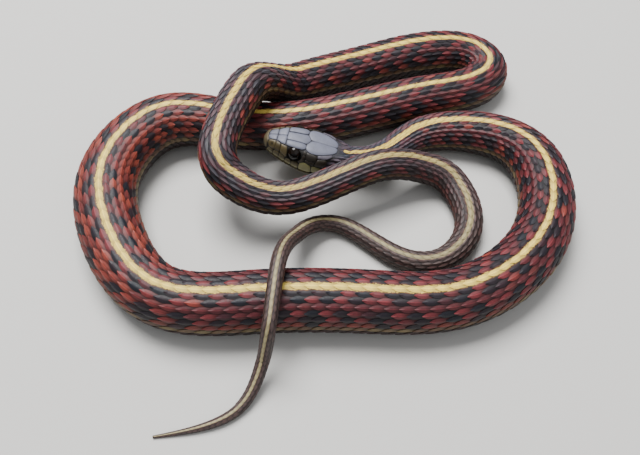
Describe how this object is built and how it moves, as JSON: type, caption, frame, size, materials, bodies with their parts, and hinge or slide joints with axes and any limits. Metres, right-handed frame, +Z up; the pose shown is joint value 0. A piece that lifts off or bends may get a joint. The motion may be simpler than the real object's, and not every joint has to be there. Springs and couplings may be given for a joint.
{
  "type": "garter snake",
  "caption": "Life-size garter snake lying in loose coils, head raised over its own body and tail across the front coil, as a still display model.",
  "frame": {"origin": "middle of the footprint of the coils, on the floor", "axes": "+Z up from the floor, +X towards the right loop, +Y away from the viewer of the picture; the head points towards -X"},
  "size_m": [0.1327, 0.126, 0.0242],
  "materials": {
    "crown": "dry grey head shields with yellow-olive lips",
    "jaw": "yellow-olive lip and chin shields",
    "eye": "wet dark eye",
    "scales": "keeled scales, brick red with black blotches and yellow stripes",
    "tail_scales": "keeled scales, dark olive-grey with a pale stripe"
  },
  "bodies": {
    "root": {"head": "crown", "jaw": "jaw", "eye_left": "eye", "eye_right": "eye", "neck": "scales", "body_01": "scales", "body_02": "scales", "body_03": "scales", "body_04": "scales", "body_05": "scales", "body_06": "scales", "body_07": "scales", "body_08": "scales", "body_09": "scales", "body_10": "scales", "body_11": "scales", "body_12": "scales", "tail_01": "tail_scales", "tail_02": "tail_scales", "tail_03": "tail_scales", "tail_04": "tail_scales"}
  },
  "joints": []
}
